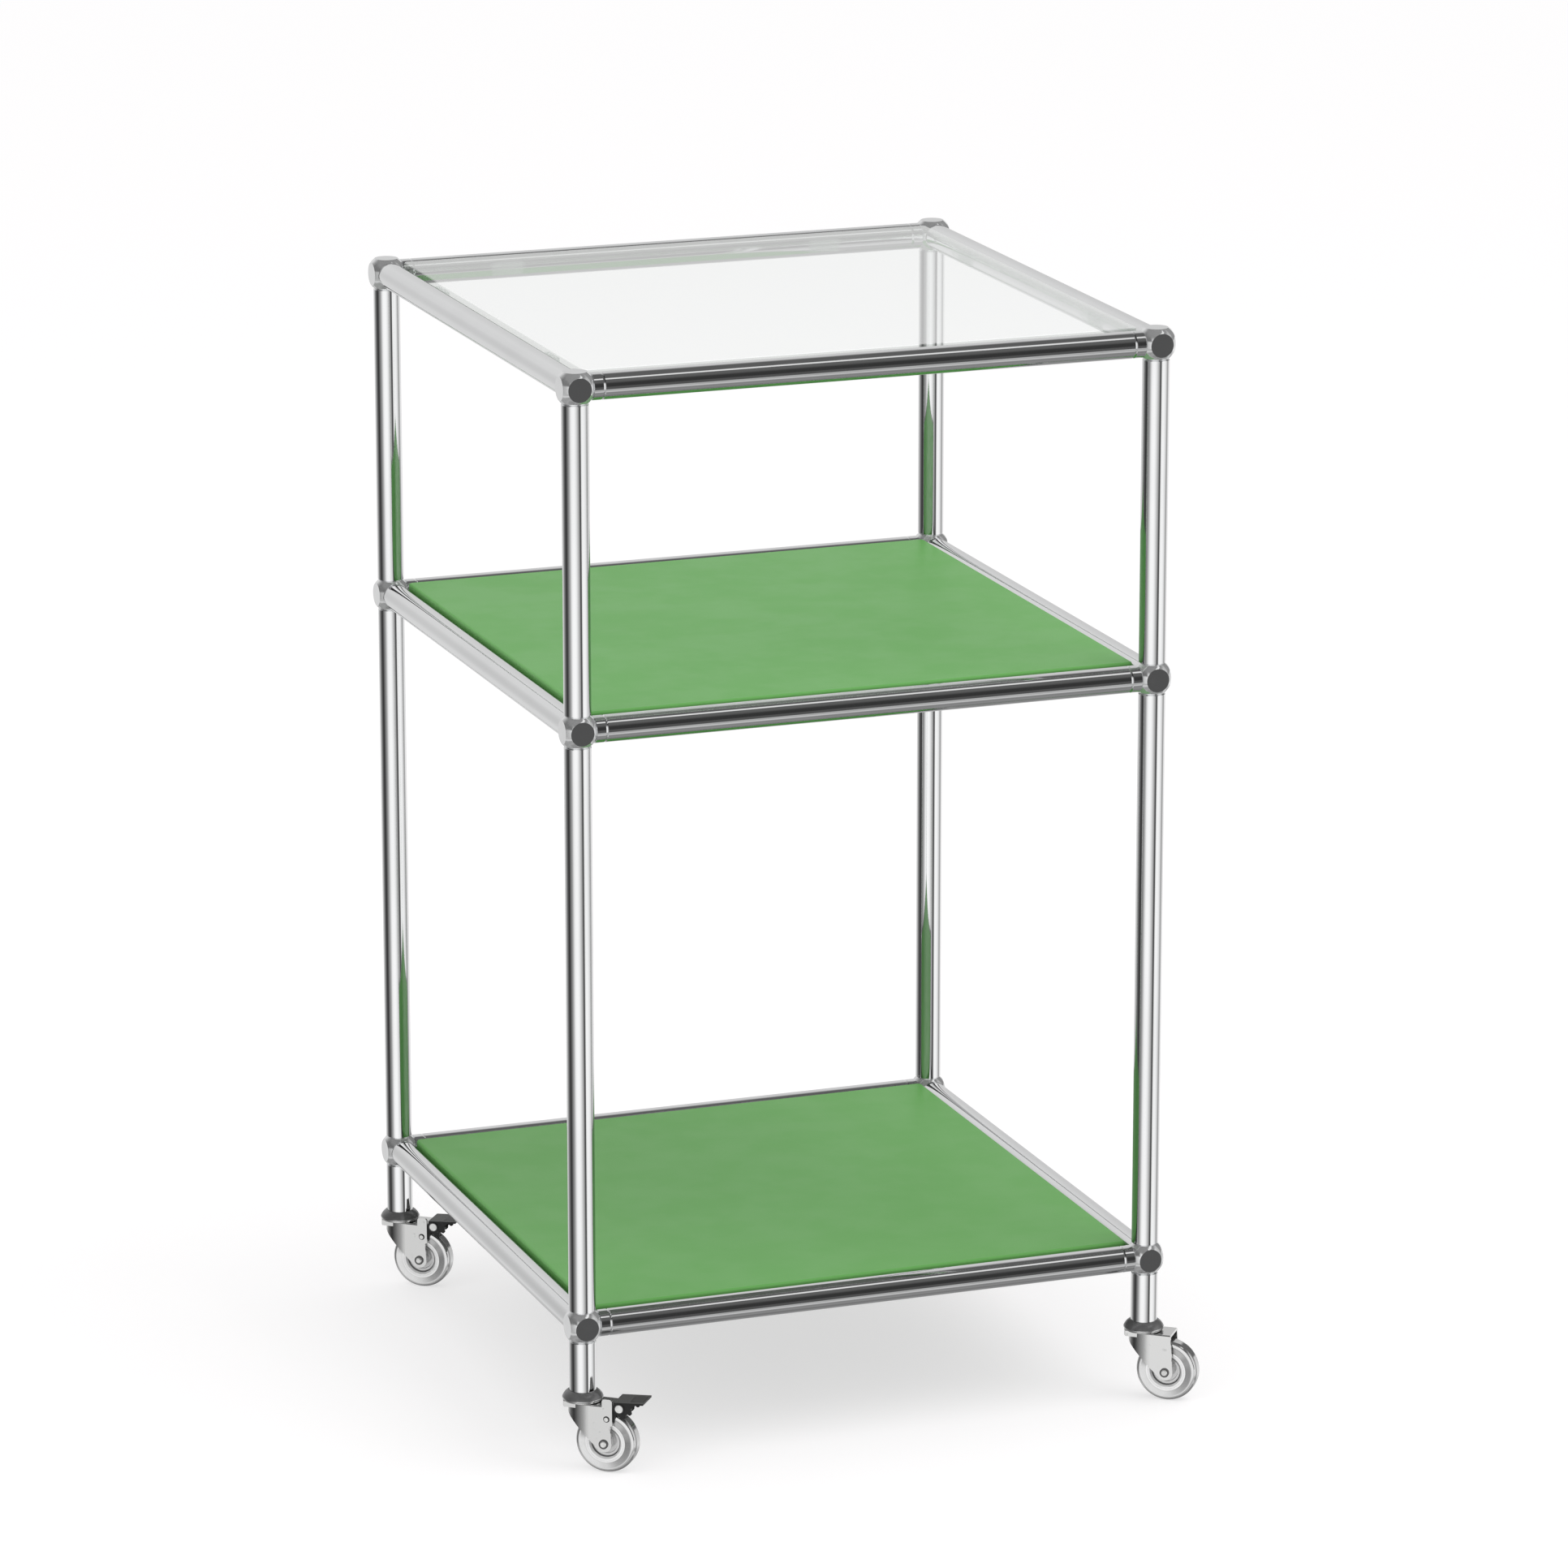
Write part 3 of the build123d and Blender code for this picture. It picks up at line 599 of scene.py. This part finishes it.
def blackCoat(name, joint=None):
    material, n = newFinish(name)
    grain = n.speckle(pedal["grainScale"])
    worn = n.span(n.speckle(pedal["wornScale"], detail=4.0), *pedal["wornSpan"])
    colour = n.blend(worn, pedal["colour"], pedal["worn"])
    # painted top light: upward faces are lightened to grey
    colour = n.blend(n.span(n.surface()["Z"], *pedal["topLightSpan"]), colour, pedal["paintedTopLight"])
    normal = n.bump(grain, pedal["grain"])
    if joint:
        pin, axis = joint["pos_m"], joint["axis"]
        place = n.vector("SUBTRACT", n.add("ShaderNodeTexCoord").outputs["Object"], tuple(pin))
        outward = n.vector("DOT_PRODUCT", place, (axis[1], -axis[0], 0.0), out="Value")
        across = n.math("ABSOLUTE", n.vector("DOT_PRODUCT", place, tuple(axis), out="Value"))
        start, end, half = pedal["print"]
        rim = pedal["printRim"]
        within = n.span(across, half, half + rim, 1.0, 0.0)
        field = n.math("MULTIPLY", n.band(outward, start, end, rim), within)
        outside = n.math("SUBTRACT", 1.0, field)
        edge = n.math("MULTIPLY", n.math("MULTIPLY", field, outside), 4.0)    # painted shade: 1 halfway up the rim, where the field's rim is darkened to the pedal's black
        colour = n.blend(n.math("MULTIPLY", field, pedal["printShare"]), colour, pedal["colour"])
        # painted shade along the rim of the pressed field
        colour = n.blend(edge, colour, pedal["colour"])
        normal = n.bump(field, pedal["printDepth"], normal)
    principled(n, Base_Color=colour, Roughness=n.span(grain, *noiseWide, *pedal["rough"]),
               Specular_IOR_Level=pedal["gloss"], Normal=normal)
    return material


def dress(prefixes, material):
    for name, node in nodes.items():
        if name.startswith(prefixes):
            for slot in node.material_slots:
                slot.material = material


heads = {
    # metres from each axis: the bright part, then the outside of the painted groove shade round it
    "axle": (0.00215, 0.0031),
    "pin": (0.0026, 0.0031),
    "rivet": (0.00145, 0.0022),
    "rivetFromAxle": (0.0020, 0.0167),    # outward, and up
}


def finishAll():
    tubes = {axis: chromeTube(axis) for axis in "XYZ"}
    dress("post_", tubes["Z"])
    for level in ("bottom", "middle", "top"):
        dress((f"rail_{level}_front", f"rail_{level}_back"), tubes["X"])
        dress((f"rail_{level}_left", f"rail_{level}_right"), tubes["Y"])
    dress("rail_sleeves", tubes["X"])
    dress("corner_balls", chromeBall())
    dress("caster_caps", smokyChrome())
    dress(("fork_", "swivel_rings"), brightPlate())
    dress(("caster_stems", "swivel_balls", "ball_studs", "tube_plugs"), turnedSteel())
    dress(("shelf_middle", "shelf_bottom"), powderCoat())
    dress("shelf_clips_", greyPlastic())
    dress("glass_top", clearGlass())
    dress("glass_clips", clearPlastic())
    dress("brake_bracket_", blackCoat("blackCoat"))
    for corner in corners:
        spin = joints[f"wheel_spin_{corner}"]
        dress(f"wheel_hub_{corner}", wheelFinish(f"wheelCore_{corner}", "core", spin))
        dress(f"tyre_{corner}", wheelFinish(f"wheelTyre_{corner}", "tyre", spin))
        axle = (tuple(spin["pos_m"]), *heads["axle"])
        dress(f"axle_{corner}", rivetHead(f"axleHead_{corner}", [axle], tuple(spin["axis"])))
    for corner in braked:
        spin, tip = joints[f"wheel_spin_{corner}"], joints[f"brake_lever_{corner}"]
        axis = spin["axis"]
        out, up = heads["rivetFromAxle"]
        rivetPlace = [a + b for a, b in zip(spin["pos_m"], (axis[1] * out, -axis[0] * out, up))]
        pins = [(tuple(tip["pos_m"]), *heads["pin"]), (tuple(rivetPlace), *heads["rivet"])]
        dress(f"brake_pins_{corner}", rivetHead(f"pinHeads_{corner}", pins, tuple(axis)))
        dress(f"brake_lever_{corner}", blackCoat(f"pedalCoat_{corner}", tip))


placeCamera()
print("camera placed")
lightStudio()
hangLamps()
layFloor()
print("studio lit")
finishAll()
print("finishes on")
